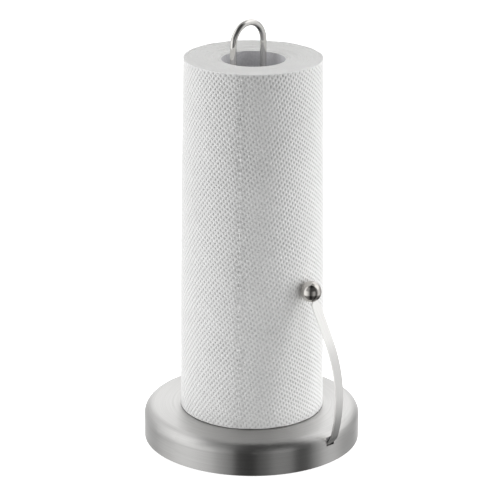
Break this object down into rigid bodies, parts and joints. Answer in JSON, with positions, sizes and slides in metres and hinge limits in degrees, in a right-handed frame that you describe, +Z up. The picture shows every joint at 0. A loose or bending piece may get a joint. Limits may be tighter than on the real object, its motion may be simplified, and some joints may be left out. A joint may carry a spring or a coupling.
{
  "type": "paper towel holder",
  "caption": "Weighted round base with a wire spindle that holds an upright paper towel roll, and a sprung arm whose ball presses on the paper.",
  "frame": {"origin": "centre of the non-slip pad's face that rests on the table", "axes": "+Z up along the spindle and roll; the sprung arm stands on -Y; the spindle's two legs lie along X"},
  "size_m": [0.168, 0.1766, 0.333],
  "materials": {
    "brushed_cover": "satin brushed",
    "polished_wire": "polished",
    "polished_ball": "polished",
    "strap_steel": "satin",
    "zinc_hardware": "zinc plated",
    "spring_steel": "drawn wire",
    "cast_ballast": "rough casting",
    "cast_knuckle": "as cast",
    "black_plate": "fine grain",
    "nylon_bush": "natural nylon",
    "pad_foam": "non-slip foam",
    "core_card": "grey card",
    "towel_paper": "embossed",
    "towel_sheet": "embossed"
  },
  "bodies": {
    "base": {"base_cover": "brushed_cover", "bottom_plate": "black_plate", "nonslip_pad": "pad_foam", "ballast_disc": "cast_ballast", "plate_screws": "zinc_hardware", "spindle_loop": "polished_wire", "spindle_collars": "polished_wire", "spindle_washers": "zinc_hardware", "spindle_nuts": "zinc_hardware", "hinge_bracket": "zinc_hardware", "bracket_screws": "zinc_hardware", "hinge_pin": "zinc_hardware", "pin_clips": "spring_steel", "arm_spring": "spring_steel"},
    "arm": {"arm_strap": "strap_steel", "strap_rivets": "zinc_hardware", "arm_knuckle": "cast_knuckle", "hinge_bush": "nylon_bush", "arm_ball": "polished_ball"},
    "core": {"roll_core": "core_card"},
    "paper": {"paper_roll": "towel_paper", "outer_sheet": "towel_sheet"}
  },
  "joints": [
    {"name": "arm_swing", "type": "hinge", "parent": "base", "child": "arm", "pos_m": [0, -0.0775, 0.0202], "axis": [1, 0, 0], "range_deg": [0, 12], "stiffness_Nm_per_rad": 0.3, "springref_deg": -34.38, "deforming": ["arm_spring"]},
    {"name": "roll_lift", "type": "slide", "parent": "base", "child": "core", "axis": [0, 0, 1], "range_m": [0, 0.31]},
    {"name": "roll_spin", "type": "hinge", "parent": "core", "child": "paper", "pos_m": [0, 0, 0.16], "axis": [0, 0, 1], "continuous": true}
  ]
}
